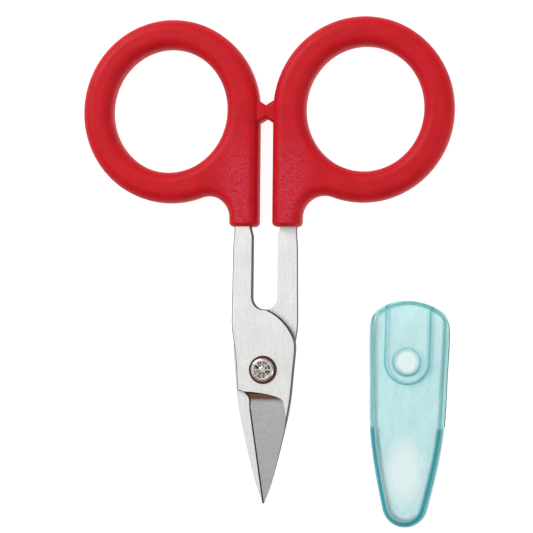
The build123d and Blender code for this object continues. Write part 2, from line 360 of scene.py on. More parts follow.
# ---------------------------------------------------------------- materials
def brushed_steel(settings):
    """Stainless strip: faces brushed lengthwise and bright, a mid-grey ground bevel, dark sheared edges.

    The faces show fine lengthwise streaks and the bevel a finer grain across the blade. The step where
    the grinding wheel stopped has a painted brown reflection with darker painted shade at its top, and
    painted shade lies on the edges that face the handles and along each cutting edge.
    """
    material, tree, output = new_material("brushed_stainless_steel")
    place = add_node(tree, "ShaderNodeTexCoord")
    normal = add_node(tree, "ShaderNodeSeparateXYZ", {0: place.outputs["Normal"]})
    upright = add_node(tree, "ShaderNodeMath", {0: normal.outputs["Z"]}, operation="ABSOLUTE")
    flat = add_node(
        tree,
        "ShaderNodeMapRange",
        {"Value": upright, "From Min": 0.985, "From Max": 0.997},
        interpolation_type="SMOOTHSTEP",
    )
    sloped = add_node(
        tree,
        "ShaderNodeMapRange",
        {"Value": upright, "From Min": 0.90, "From Max": 0.955},
        interpolation_type="SMOOTHSTEP",
    )
    towards_handles = add_node(
        tree,
        "ShaderNodeMapRange",
        {"Value": normal.outputs["Y"], "From Min": 0.2, "From Max": 0.5},
        interpolation_type="SMOOTHSTEP",
    )
    towards_tip = add_node(
        tree,
        "ShaderNodeMapRange",
        {"Value": normal.outputs["Y"], "From Min": -0.18, "From Max": -0.5},
        interpolation_type="SMOOTHSTEP",
    )
    # Real brush lines are about 0.05 mm wide; they are drawn six times as wide so that they show.
    across = 1 / settings.brush_width
    along = 1 / settings.brush_length
    lengthwise = add_node(
        tree, "ShaderNodeMapping", {"Vector": place.outputs["Object"], "Scale": (across, along, across)}
    )
    streaks = add_node(
        tree, "ShaderNodeTexNoise", {"Vector": lengthwise, "Scale": 1.0, "Detail": 3.0, "Roughness": 0.6}
    )
    crosswise = add_node(
        tree,
        "ShaderNodeMapping",
        {
            "Vector": place.outputs["Object"],
            "Rotation": (0, 0, math.radians(20)),
            "Scale": (along * 4, across, across),
        },
    )
    grind_lines = add_node(
        tree, "ShaderNodeTexNoise", {"Vector": crosswise, "Scale": 1.0, "Detail": 2.0, "Roughness": 0.5}
    )
    lines = add_node(tree, "ShaderNodeMix", {0: flat, 2: grind_lines, 3: streaks}, data_type="FLOAT")
    # A fine speckle, under half a millimetre across, left by the tumbling before the strip was brushed.
    speckle = add_node(
        tree,
        "ShaderNodeTexNoise",
        {"Vector": place.outputs["Object"], "Scale": 1 / (0.45 * MM), "Detail": 1.0},
    )
    # Broad cloudy differences, a few millimetres across, from handling and polishing.
    clouds = add_node(
        tree,
        "ShaderNodeTexNoise",
        {"Vector": place.outputs["Object"], "Scale": 1 / (5 * MM), "Detail": 2.0},
    )
    # Painted shade darkens the sheared edges that face the handles.
    sheared = add_node(
        tree,
        "ShaderNodeMix",
        {0: towards_handles, 6: settings.edge_colour, 7: settings.handle_side_shade_colour},
        data_type="RGBA",
    )
    # A painted brown reflection lies on the edges and the grinding shoulder that face the tip.
    edge = add_node(
        tree,
        "ShaderNodeMix",
        {0: towards_tip, 6: sheared.outputs[2], 7: settings.tip_side_reflection_colour},
        data_type="RGBA",
    )
    # Darker painted shade where the shoulder faces the tip most steeply.
    steep = add_node(
        tree,
        "ShaderNodeMapRange",
        {"Value": normal.outputs["Y"], "From Min": -0.62, "From Max": -0.92},
        interpolation_type="SMOOTHSTEP",
    )
    shoulder = add_node(
        tree, "ShaderNodeMix", {0: steep, 6: edge.outputs[2], 7: settings.shoulder_shade_colour}, data_type="RGBA"
    )
    edge_or_bevel = add_node(
        tree,
        "ShaderNodeMix",
        {0: sloped, 6: shoulder.outputs[2], 7: settings.bevel_colour},
        data_type="RGBA",
    )
    finish = add_node(
        tree,
        "ShaderNodeMix",
        {0: flat, 6: edge_or_bevel.outputs[2], 7: settings.face_colour},
        data_type="RGBA",
    )
    # A painted shade line follows the cutting edge and the choil; the edge lies on the other side on the
    # turned-over half.
    corner = add_node(tree, "ShaderNodeSeparateXYZ", {0: place.outputs["Object"]})
    above_middle = add_node(
        tree, "ShaderNodeMath", {0: corner.outputs["Z"], 1: MIDDLE_HEIGHT}, operation="SUBTRACT"
    )
    side = add_node(tree, "ShaderNodeMath", {0: above_middle}, operation="SIGN")
    own_x = add_node(tree, "ShaderNodeMath", {0: corner.outputs["X"], 1: side}, operation="MULTIPLY")
    own_place = add_node(tree, "ShaderNodeCombineXYZ", {"X": own_x, "Y": corner.outputs["Y"]})
    from_edge = add_node(tree, "ShaderNodeVectorMath", {0: own_place, 1: EDGE_START}, operation="SUBTRACT")
    into_blade = add_node(
        tree, "ShaderNodeVectorMath", {0: from_edge, 1: EDGE_INWARDS}, operation="DOT_PRODUCT"
    )
    edge_shade_band = add_node(
        tree,
        "ShaderNodeMapRange",
        {
            "Value": into_blade.outputs["Value"],
            "From Min": settings.edge_shade_width,
            "From Max": settings.edge_shade_width * 0.7,
            "To Max": 0.95,
        },
    )
    below_choil = add_node(
        tree, "ShaderNodeMath", {0: corner.outputs["Y"], 1: CHOIL_BOTTOM}, operation="LESS_THAN"
    )
    choil_reach = add_node(
        tree, "ShaderNodeVectorMath", {0: own_place, 1: CHOIL_CENTRE}, operation="DISTANCE"
    )
    choil_band = add_node(
        tree,
        "ShaderNodeMapRange",
        {
            "Value": choil_reach.outputs["Value"],
            "From Min": CHOIL_RADIUS + settings.edge_shade_width,
            "From Max": CHOIL_RADIUS + settings.edge_shade_width * 0.7,
        },
    )
    above_bottom = add_node(
        tree, "ShaderNodeMath", {0: corner.outputs["Y"], 1: CHOIL_BOTTOM}, operation="GREATER_THAN"
    )
    below_top = add_node(
        tree, "ShaderNodeMath", {0: corner.outputs["Y"], 1: CHOIL_TOP + 0.3 * MM}, operation="LESS_THAN"
    )
    choil_above = add_node(tree, "ShaderNodeMath", {0: choil_band, 1: above_bottom}, operation="MULTIPLY")
    choil_shade_line = add_node(tree, "ShaderNodeMath", {0: choil_above, 1: below_top}, operation="MULTIPLY")
    off_the_flat = add_node(tree, "ShaderNodeMath", {0: 1.0, 1: flat}, operation="SUBTRACT")
    edge_shade_below = add_node(tree, "ShaderNodeMath", {0: edge_shade_band, 1: below_choil}, operation="MULTIPLY")
    outline_share = add_node(tree, "ShaderNodeMath", {0: edge_shade_below, 1: choil_shade_line}, operation="MAXIMUM")
    edge_shade_share = add_node(
        tree, "ShaderNodeMath", {0: outline_share, 1: off_the_flat}, operation="MULTIPLY"
    )
    edge_shaded = add_node(
        tree,
        "ShaderNodeMix",
        {0: edge_shade_share, 6: finish.outputs[2], 7: settings.edge_shade_colour},
        data_type="RGBA",
    )
    streak_shade = add_node(
        tree,
        "ShaderNodeMapRange",
        {"Value": lines, "From Min": 0.3, "From Max": 0.7, "To Min": 0.91, "To Max": 1.03},
    )
    cloud_shade = add_node(
        tree,
        "ShaderNodeMapRange",
        {"Value": clouds, "From Min": 0.3, "From Max": 0.7, "To Min": 0.97, "To Max": 1.02},
    )
    speckle_shade = add_node(
        tree,
        "ShaderNodeMapRange",
        {"Value": speckle, "From Min": 0.3, "From Max": 0.7, "To Min": 0.94, "To Max": 1.05},
    )
    lines_and_clouds = add_node(
        tree, "ShaderNodeMath", {0: streak_shade, 1: cloud_shade}, operation="MULTIPLY"
    )
    shade = add_node(tree, "ShaderNodeMath", {0: lines_and_clouds, 1: speckle_shade}, operation="MULTIPLY")
    shaded = add_node(
        tree, "ShaderNodeVectorMath", {0: edge_shaded.outputs[2], "Scale": shade}, operation="SCALE"
    )
    roughness = add_node(tree, "ShaderNodeMapRange", {"Value": sloped, "To Min": 0.5, "To Max": 0.33})
    rough_lines = add_node(
        tree, "ShaderNodeMath", {0: lines, 1: 0.12, 2: roughness}, operation="MULTIPLY_ADD"
    )
    bump = add_node(tree, "ShaderNodeBump", {"Height": lines, "Strength": 0.35, "Distance": 0.006 * MM})
    metal = add_node(
        tree,
        "ShaderNodeBsdfPrincipled",
        {"Base Color": shaded, "Metallic": 1.0, "Roughness": rough_lines, "Normal": bump},
    )
    tree.links.new(metal.outputs[0], output.inputs["Surface"])
    return material


def moulded_plastic(settings):
    """Injection-moulded polypropylene: deep red, satin, with the pebble grain of a spark-eroded mould.

    The grain breaks the soft highlight into small flecks, which on the web's flat faces are a painted
    highlight of paler pink, and a thin line shows where the mould closed.
    """
    material, tree, output = new_material("moulded_red_polypropylene")
    place = add_node(tree, "ShaderNodeTexCoord")
    grain = add_node(
        tree,
        "ShaderNodeTexNoise",
        {
            "Vector": place.outputs["Object"],
            "Scale": 1 / settings.grain_size,
            "Detail": 2.0,
            "Roughness": 0.55,
        },
    )
    mottle = add_node(
        tree,
        "ShaderNodeTexNoise",
        {"Vector": place.outputs["Object"], "Scale": 1 / (3 * MM), "Detail": 3.0},
    )
    mottle_share = add_node(
        tree, "ShaderNodeMapRange", {"Value": mottle, "From Min": 0.35, "From Max": 0.7}
    )
    body = add_node(
        tree,
        "ShaderNodeMix",
        {0: mottle_share, 6: settings.colour, 7: settings.mottle_colour},
        data_type="RGBA",
    )
    height = add_node(tree, "ShaderNodeSeparateXYZ", {0: place.outputs["Object"]})
    # The web between ring and stem keeps the mould's coarse grain; the ring is worn smooth by the polisher.
    from_ring = add_node(tree, "ShaderNodeMath", {0: height.outputs["X"]}, operation="ABSOLUTE")
    near_stem = add_node(
        tree,
        "ShaderNodeMapRange",
        {"Value": from_ring, "From Min": 12.5 * MM, "From Max": 7.0 * MM},
        interpolation_type="SMOOTHSTEP",
    )
    below_ring = add_node(
        tree,
        "ShaderNodeMapRange",
        {"Value": height.outputs["Y"], "From Min": FOOT_Y + 25 * MM, "From Max": FOOT_Y + 13 * MM},
        interpolation_type="SMOOTHSTEP",
    )
    normal = add_node(tree, "ShaderNodeSeparateXYZ", {0: place.outputs["Normal"]})
    upright = add_node(tree, "ShaderNodeMath", {0: normal.outputs["Z"]}, operation="ABSOLUTE")
    flat = add_node(
        tree,
        "ShaderNodeMapRange",
        {"Value": upright, "From Min": 0.90, "From Max": 0.995},
        interpolation_type="SMOOTHSTEP",
    )
    on_web = add_node(tree, "ShaderNodeMath", {0: near_stem, 1: below_ring}, operation="MULTIPLY")
    web_share = add_node(tree, "ShaderNodeMath", {0: on_web, 1: flat}, operation="MULTIPLY")
    web_grain = add_node(
        tree,
        "ShaderNodeTexNoise",
        {"Vector": place.outputs["Object"], "Scale": 1 / settings.web_grain_size, "Detail": 1.0},
    )
    # Painted highlight: the tops of the web's grain, on its flat faces, are paler pink.
    web_highlight_tops = add_node(
        tree,
        "ShaderNodeMapRange",
        {"Value": web_grain, "From Min": 0.36, "From Max": 0.68, "To Min": 0.0, "To Max": 0.52},
    )
    web_highlight_share = add_node(tree, "ShaderNodeMath", {0: web_highlight_tops, 1: web_share}, operation="MULTIPLY")
    coloured = add_node(
        tree, "ShaderNodeMix", {0: web_highlight_share, 6: body.outputs[2], 7: settings.web_highlight_colour}, data_type="RGBA"
    )
    grain_height = add_node(
        tree, "ShaderNodeMix", {0: web_share, 2: grain, 3: web_grain}, data_type="FLOAT"
    )
    from_middle = add_node(
        tree, "ShaderNodeMath", {0: height.outputs["Z"], 1: MIDDLE_HEIGHT}, operation="SUBTRACT"
    )
    distance = add_node(tree, "ShaderNodeMath", {0: from_middle}, operation="ABSOLUTE")
    parting_line = add_node(
        tree,
        "ShaderNodeMapRange",
        {"Value": distance, "From Min": settings.parting_line_width, "From Max": 0.0},
        interpolation_type="SMOOTHSTEP",
    )
    surface = add_node(
        tree, "ShaderNodeMath", {0: parting_line, 1: 1.6, 2: grain_height}, operation="MULTIPLY_ADD"
    )
    bump = add_node(tree, "ShaderNodeBump", {"Height": surface, "Strength": 0.6, "Distance": 0.05 * MM})
    roughness = add_node(
        tree,
        "ShaderNodeMapRange",
        {"Value": grain, "From Min": 0.3, "From Max": 0.7, "To Min": 0.40, "To Max": 0.54},
    )
    plastic = add_node(
        tree,
        "ShaderNodeBsdfPrincipled",
        {
            "Base Color": coloured.outputs[2],
            "Roughness": roughness,
            "IOR": 1.49,
            "Specular IOR Level": 0.16,
            "Normal": bump,
        },
    )
    tree.links.new(plastic.outputs[0], output.inputs["Surface"])
    return material


def burnished_steel(settings):
    """Mild steel, upset cold by a star punch: bright, with fine tool marks and painted shade in its dents."""
    material, tree, output = new_material("burnished_rivet_steel")
    place = add_node(tree, "ShaderNodeTexCoord")
    level = add_node(tree, "ShaderNodeSeparateXYZ", {0: place.outputs["Object"]})
    off_axis = add_node(tree, "ShaderNodeCombineXYZ", {"X": level.outputs["X"], "Y": level.outputs["Y"]})
    reach = add_node(tree, "ShaderNodeVectorMath", {0: off_axis, 1: (0, PIVOT_Y, 0)}, operation="DISTANCE")
    # Painted shade fills the dents, below the crown and inside the ring.
    in_ring = add_node(
        tree, "ShaderNodeMath", {0: reach.outputs["Value"], 1: 2.05 * MM}, operation="LESS_THAN"
    )
    sunk = add_node(
        tree,
        "ShaderNodeMapRange",
        {
            "Value": level.outputs["Z"],
            "From Min": RIVET_CROWN - 0.04 * MM,
            "From Max": RIVET_CROWN - 0.3 * MM,
        },
    )
    dent_shade_share = add_node(tree, "ShaderNodeMath", {0: sunk, 1: in_ring}, operation="MULTIPLY")
    # The painted shade is broken up at random, so some dents stay bright and others dark.
    uneven = add_node(
        tree,
        "ShaderNodeTexNoise",
        {"Vector": place.outputs["Object"], "Scale": 1 / (1.1 * MM), "Detail": 3.0, "Distortion": 0.6},
    )
    uneven_share = add_node(
        tree,
        "ShaderNodeMapRange",
        {"Value": uneven, "From Min": 0.36, "From Max": 0.56, "To Min": 0.15, "To Max": 1.0},
    )
    uneven_dent_shade = add_node(tree, "ShaderNodeMath", {0: dent_shade_share, 1: uneven_share}, operation="MULTIPLY")
    dent_shaded = add_node(
        tree,
        "ShaderNodeMix",
        {0: uneven_dent_shade, 6: settings.rivet_colour, 7: settings.dent_shade_colour},
        data_type="RGBA",
    )
    tool_marks = add_node(
        tree,
        "ShaderNodeTexNoise",
        {"Vector": place.outputs["Object"], "Scale": 1 / (0.35 * MM), "Detail": 3.0},
    )
    shade = add_node(
        tree,
        "ShaderNodeMapRange",
        {"Value": tool_marks, "From Min": 0.3, "From Max": 0.7, "To Min": 0.5, "To Max": 1.04},
    )
    shaded = add_node(
        tree, "ShaderNodeVectorMath", {0: dent_shaded.outputs[2], "Scale": shade}, operation="SCALE"
    )
    roughness = add_node(
        tree,
        "ShaderNodeMapRange",
        {"Value": tool_marks, "From Min": 0.3, "From Max": 0.7, "To Min": 0.16, "To Max": 0.32},
    )
    bump = add_node(tree, "ShaderNodeBump", {"Height": tool_marks, "Strength": 0.8, "Distance": 0.09 * MM})
    metal = add_node(
        tree,
        "ShaderNodeBsdfPrincipled",
        {"Base Color": shaded, "Metallic": 1.0, "Roughness": roughness, "Normal": bump},
    )
    tree.links.new(metal.outputs[0], output.inputs["Surface"])
    return material


def bronzed_steel(settings):
    """Spring steel, oil-bronzed: brown, darker in its pores, so that the bright rivet stands out."""
    material, tree, output = new_material("bronzed_washer_steel")
    place = add_node(tree, "ShaderNodeTexCoord")
    oxide = add_node(
        tree,
        "ShaderNodeTexNoise",
        {"Vector": place.outputs["Object"], "Scale": 1 / (0.6 * MM), "Detail": 3.0},
    )
    shade = add_node(
        tree,
        "ShaderNodeMapRange",
        {"Value": oxide, "From Min": 0.3, "From Max": 0.7, "To Min": 0.6, "To Max": 1.15},
    )
    shaded = add_node(
        tree, "ShaderNodeVectorMath", {0: settings.washer_colour[:3], "Scale": shade}, operation="SCALE"
    )
    roughness = add_node(
        tree,
        "ShaderNodeMapRange",
        {"Value": oxide, "From Min": 0.3, "From Max": 0.7, "To Min": 0.25, "To Max": 0.42},
    )
    metal = add_node(
        tree, "ShaderNodeBsdfPrincipled", {"Base Color": shaded, "Metallic": 1.0, "Roughness": roughness}
    )
    tree.links.new(metal.outputs[0], output.inputs["Surface"])
    return material


def tinted_clear_plastic(settings):
    """Soft PVC, moulded clear with an aqua tint: pale through its thin faces and deep teal along its walls.

    The faces are see-through with faint flow clouds. The upright walls, which the eye looks along, gather
    the tint. The boss is milky, a pale patch in the tapering part and a pale line along the cavity's
    corners are painted highlights, painted shade rings the boss, and the mouth has a rim.
    """
    material, tree, output = new_material("tinted_clear_pvc")
    place = add_node(tree, "ShaderNodeTexCoord")
    own = add_node(
        tree,
        "ShaderNodeMapping",
        {"Vector": place.outputs["Object"], "Location": COVER_BOSS, "Rotation": (0, 0, -COVER_LEAN)},
        vector_type="TEXTURE",
    )
    spot = add_node(tree, "ShaderNodeSeparateXYZ", {0: own})
    normal = add_node(tree, "ShaderNodeSeparateXYZ", {0: place.outputs["Normal"]})
    upright = add_node(tree, "ShaderNodeMath", {0: normal.outputs["Z"]}, operation="ABSOLUTE")
    # Below the slits the walls are whole, and above them only their rounded edges are left.
    whole_wall = add_node(
        tree,
        "ShaderNodeMapRange",
        {"Value": spot.outputs["Y"], "From Min": SLIT_END - 0.1 * MM, "From Max": SLIT_END - 0.7 * MM},
    )
    # A whole wall's band reaches a little further in over its rounded edge.
    band_reach = add_node(
        tree, "ShaderNodeMath", {0: whole_wall, 1: -0.07, 2: upright}, operation="MULTIPLY_ADD"
    )
    wall = add_node(
        tree,
        "ShaderNodeMapRange",
        {"Value": band_reach, "From Min": 0.92, "From Max": 0.80},
        interpolation_type="SMOOTHSTEP",
    )
    # The cavity's rounded corners stay clear: the tint shows only where the outside turns down.
    from_mid = add_node(
        tree, "ShaderNodeMath", {0: spot.outputs["Z"], 1: COVER_MIDDLE}, operation="SUBTRACT"
    )
    mid_distance = add_node(tree, "ShaderNodeMath", {0: from_mid}, operation="ABSOLUTE")
    outside = add_node(tree, "ShaderNodeMath", {0: mid_distance, 1: CAVITY_REACH}, operation="GREATER_THAN")
    # The flat upright wall, which is seen straight on from the side, is paler than its rounded edges.
    steep = add_node(tree, "ShaderNodeMath", {0: upright, 1: 0.5}, operation="LESS_THAN")
    rounding = add_node(
        tree,
        "ShaderNodeMapRange",
        {"Value": upright, "From Min": 0.02, "From Max": 0.3, "To Min": 0.3},
        interpolation_type="SMOOTHSTEP",
    )
    steep_share = add_node(tree, "ShaderNodeMath", {0: steep, 1: rounding}, operation="MULTIPLY")
    tinted_side = add_node(tree, "ShaderNodeMath", {0: outside, 1: steep_share}, operation="MAXIMUM")
    wall_share = add_node(tree, "ShaderNodeMath", {0: wall, 1: tinted_side}, operation="MULTIPLY")
    # Painted highlight: the cavity's rounded corners, inside the walls, are made milky so that they show a
    # pale line.
    corner_highlight = add_node(tree, "ShaderNodeMath", {0: wall, 1: wall_share}, operation="SUBTRACT")
    wall_tint = add_node(
        tree,
        "ShaderNodeMix",
        {0: whole_wall, 6: settings.slit_colour, 7: settings.wall_colour},
        data_type="RGBA",
    )
    # The mouth's rim is a thicker band that follows the mouth's arc.
    from_boss = add_node(tree, "ShaderNodeCombineXYZ", {"X": spot.outputs["X"], "Y": spot.outputs["Y"]})
    mouth_reach = add_node(
        tree, "ShaderNodeVectorMath", {0: from_boss, 1: (0, MOUTH_CENTRE, 0)}, operation="DISTANCE"
    )
    rim = add_node(
        tree,
        "ShaderNodeMapRange",
        {
            "Value": mouth_reach.outputs["Value"],
            "From Min": MOUTH_RADIUS - settings.rim_width * 1.2,
            "From Max": MOUTH_RADIUS - settings.rim_width * 0.8,
            "To Max": 0.62,
        },
        interpolation_type="SMOOTHSTEP",
    )
    near_mouth = add_node(
        tree, "ShaderNodeMath", {0: spot.outputs["Y"], 1: MOUTH_CENTRE}, operation="GREATER_THAN"
    )
    rim_share = add_node(tree, "ShaderNodeMath", {0: rim, 1: near_mouth}, operation="MULTIPLY")
    # Milky spots: the boss, and a painted highlight, a soft pale patch on the outer skin of the tapering
    # part.
    boss_reach = add_node(tree, "ShaderNodeVectorMath", {0: from_boss}, operation="LENGTH")
    boss_disc = add_node(
        tree,
        "ShaderNodeMapRange",
        {
            "Value": boss_reach.outputs["Value"],
            "From Min": BOSS_RADIUS - 0.25 * MM,
            "From Max": BOSS_RADIUS - 1.3 * MM,
            "To Max": 0.9,
        },
        interpolation_type="SMOOTHSTEP",
    )
    boss_level = add_node(
        tree, "ShaderNodeMath", {0: spot.outputs["Z"], 1: COVER_TOP - 0.1 * MM}, operation="GREATER_THAN"
    )
    boss = add_node(tree, "ShaderNodeMath", {0: boss_disc, 1: boss_level}, operation="MULTIPLY")
    # Painted shade round the boss's shoulder, deepest on its side away from the mouth.
    off_shoulder = add_node(
        tree, "ShaderNodeMath", {0: boss_reach.outputs["Value"], 1: BOSS_RADIUS}, operation="SUBTRACT"
    )
    shoulder_distance = add_node(tree, "ShaderNodeMath", {0: off_shoulder}, operation="ABSOLUTE")
    boss_shoulder = add_node(
        tree,
        "ShaderNodeMapRange",
        {"Value": shoulder_distance, "From Min": 0.55 * MM, "From Max": 0.05 * MM, "To Max": 0.75},
        interpolation_type="SMOOTHSTEP",
    )
    lower_arc = add_node(
        tree,
        "ShaderNodeMapRange",
        {
            "Value": spot.outputs["Y"],
            "From Min": BOSS_RADIUS * 0.9,
            "From Max": -BOSS_RADIUS * 0.7,
            "To Min": 0.35,
        },
    )
    painted_boss_shade = add_node(tree, "ShaderNodeMath", {0: boss_shoulder, 1: lower_arc}, operation="MULTIPLY")
    # The channel's wall is a soft line along both sides and round the boss.
    channel_y = add_node(tree, "ShaderNodeMath", {0: spot.outputs["Y"], 1: 0.0}, operation="MINIMUM")
    from_channel = add_node(tree, "ShaderNodeCombineXYZ", {"X": spot.outputs["X"], "Y": channel_y})
    channel_reach = add_node(tree, "ShaderNodeVectorMath", {0: from_channel}, operation="LENGTH")
    off_channel = add_node(
        tree,
        "ShaderNodeMath",
        {0: channel_reach.outputs["Value"], 1: CHANNEL_RADIUS - 0.2 * MM},
        operation="SUBTRACT",
    )
    channel_distance = add_node(tree, "ShaderNodeMath", {0: off_channel}, operation="ABSOLUTE")
    channel_line = add_node(
        tree,
        "ShaderNodeMapRange",
        {"Value": channel_distance, "From Min": 0.5 * MM, "From Max": 0.1 * MM, "To Max": 0.45},
        interpolation_type="SMOOTHSTEP",
    )
    boss_shade_or_channel = add_node(tree, "ShaderNodeMath", {0: painted_boss_shade, 1: channel_line}, operation="MAXIMUM")
    highlight_place = add_node(
        tree,
        "ShaderNodeMapping",
        {
            "Vector": own,
            "Location": (0, SLIT_END - 10.5 * MM, COVER_TOP - 1.5 * MM),
            "Scale": (5.2 * MM, 9.5 * MM, 40 * MM),
        },
        vector_type="TEXTURE",
    )
    highlight_reach = add_node(tree, "ShaderNodeVectorMath", {0: highlight_place}, operation="LENGTH")
    flow = add_node(
        tree, "ShaderNodeMapping", {"Vector": own, "Scale": (1 / (1.6 * MM), 1 / (5 * MM), 1 / (1.6 * MM))}
    )
    clouds = add_node(
        tree, "ShaderNodeTexNoise", {"Vector": flow, "Scale": 1.0, "Detail": 4.0, "Roughness": 0.6}
    )
    highlight_edge = add_node(
        tree,
        "ShaderNodeMath",
        {0: clouds, 1: 0.2, 2: highlight_reach.outputs["Value"]},
        operation="MULTIPLY_ADD",
    )
    painted_highlight = add_node(
        tree,
        "ShaderNodeMapRange",
        {"Value": highlight_edge, "From Min": 1.25, "From Max": 0.45, "To Max": 0.8},
        interpolation_type="SMOOTHSTEP",
    )
    outer_skin = add_node(
        tree, "ShaderNodeMath", {0: spot.outputs["Z"], 1: COVER_TOP - TOP_SKIN}, operation="GREATER_THAN"
    )
    skin_highlight = add_node(tree, "ShaderNodeMath", {0: painted_highlight, 1: outer_skin}, operation="MULTIPLY")
    milky = add_node(tree, "ShaderNodeMath", {0: boss, 1: skin_highlight}, operation="MAXIMUM")
    coloured = add_node(
        tree,
        "ShaderNodeMix",
        {0: wall_share, 6: settings.surface_colour, 7: wall_tint.outputs[2]},
        data_type="RGBA",
    )
    rimmed = add_node(
        tree,
        "ShaderNodeMix",
        {0: rim_share, 6: coloured.outputs[2], 7: settings.rim_colour},
        data_type="RGBA",
    )
    finished = add_node(
        tree,
        "ShaderNodeMix",
        {0: boss_shade_or_channel, 6: rimmed.outputs[2], 7: settings.boss_shade_and_channel_colour},
        data_type="RGBA",
    )
    roughness = add_node(
        tree,
        "ShaderNodeMapRange",
        {"Value": clouds, "From Min": 0.3, "From Max": 0.7, "To Min": 0.10, "To Max": 0.24},
    )
    clearness = add_node(
        tree,
        "ShaderNodeMapRange",
        {"Value": clouds, "From Min": 0.3, "From Max": 0.7, "To Min": 0.93, "To Max": 0.76},
    )
    wall_clearness = add_node(
        tree, "ShaderNodeMix", {0: wall_share, 2: clearness, 3: 0.45}, data_type="FLOAT"
    )
    corner_clearness = add_node(
        tree, "ShaderNodeMix", {0: corner_highlight, 2: wall_clearness, 3: 0.4}, data_type="FLOAT"
    )
    all_clearness = add_node(
        tree, "ShaderNodeMix", {0: milky, 2: corner_clearness, 3: 0.30}, data_type="FLOAT"
    )
    texture = add_node(tree, "ShaderNodeTexNoise", {"Vector": own, "Scale": 1 / (0.6 * MM), "Detail": 2.0})
    bump = add_node(tree, "ShaderNodeBump", {"Height": texture, "Strength": 0.3, "Distance": 0.02 * MM})
    plastic = add_node(
        tree,
        "ShaderNodeBsdfPrincipled",
        {
            "Base Color": finished.outputs[2],
            "Roughness": roughness,
            "IOR": 1.53,
            "Transmission Weight": all_clearness,
            "Normal": bump,
        },
    )
    # The whole walls scatter the tint they gather, and mirror little of the room.
    dense_plastic = add_node(
        tree,
        "ShaderNodeBsdfPrincipled",
        {
            "Base Color": finished.outputs[2],
            "Roughness": 0.45,
            "IOR": 1.53,
            "Specular IOR Level": 0.15,
            "Transmission Weight": 0.4,
            "Normal": bump,
        },
    )
    dense_share = add_node(tree, "ShaderNodeMath", {0: wall_share, 1: whole_wall}, operation="MULTIPLY")
    moulded = add_node(tree, "ShaderNodeMixShader", {0: dense_share, 1: plastic, 2: dense_plastic})
    thickness = add_node(
        tree,
        "ShaderNodeVolumeAbsorption",
        {"Color": settings.absorbed_tint, "Density": settings.absorption},
    )
    tree.links.new(moulded.outputs[0], output.inputs["Surface"])
    tree.links.new(thickness.outputs[0], output.inputs["Volume"])
    return material


# ---------------------------------------------------------------- modelling helpers
def select_faces(piece, wanted):
    """In edit mode, selects just the faces that the test wants."""
    mesh = bmesh.from_edit_mesh(piece.data)
    for face in mesh.faces:
        face.select = False
    for face in mesh.faces:
        if wanted(face):
            face.select = True
    mesh.select_flush_mode()
    bmesh.update_edit_mesh(piece.data)


def highest_face(piece):
    """A test for the upper cap, which faces up and lies highest."""
    mesh = bmesh.from_edit_mesh(piece.data)
    top = max(face.calc_center_median().z for face in mesh.faces)
    return lambda face: face.calc_center_median().z > top - 1e-7 and face.normal.z > 0.9


def raise_cap(amount, scale, centre):
    """Extrudes the selected cap by amount and then scales it about the rivet's axis."""
    bpy.ops.mesh.extrude_region_move(TRANSFORM_OT_translate={"value": (0, 0, amount)})
    bpy.ops.transform.resize(value=(scale, scale, 1), center_override=centre)


class SNIPS_OT_steel_halves(bpy.types.Operator):
    """Finish the two steel halves with brushed faces, ground bevels and sheared edges"""

    bl_idname = "snips.steel_halves"
    bl_label = "Steel Halves"

    def execute(self, context):
        steel = brushed_steel(context.scene.snips.steel)
        for name in ("front_blade", "back_blade"):
            give(frame["nodes"][name], steel)
        return {"FINISHED"}


class SNIPS_OT_finger_grips(bpy.types.Operator):
    """Finish the two moulded finger grips"""

    bl_idname = "snips.finger_grips"
    bl_label = "Finger Grips"

    def execute(self, context):
        plastic = moulded_plastic(context.scene.snips.grips)
        for name in ("left_grip", "right_grip"):
            give(frame["nodes"][name], plastic)
        return {"FINISHED"}


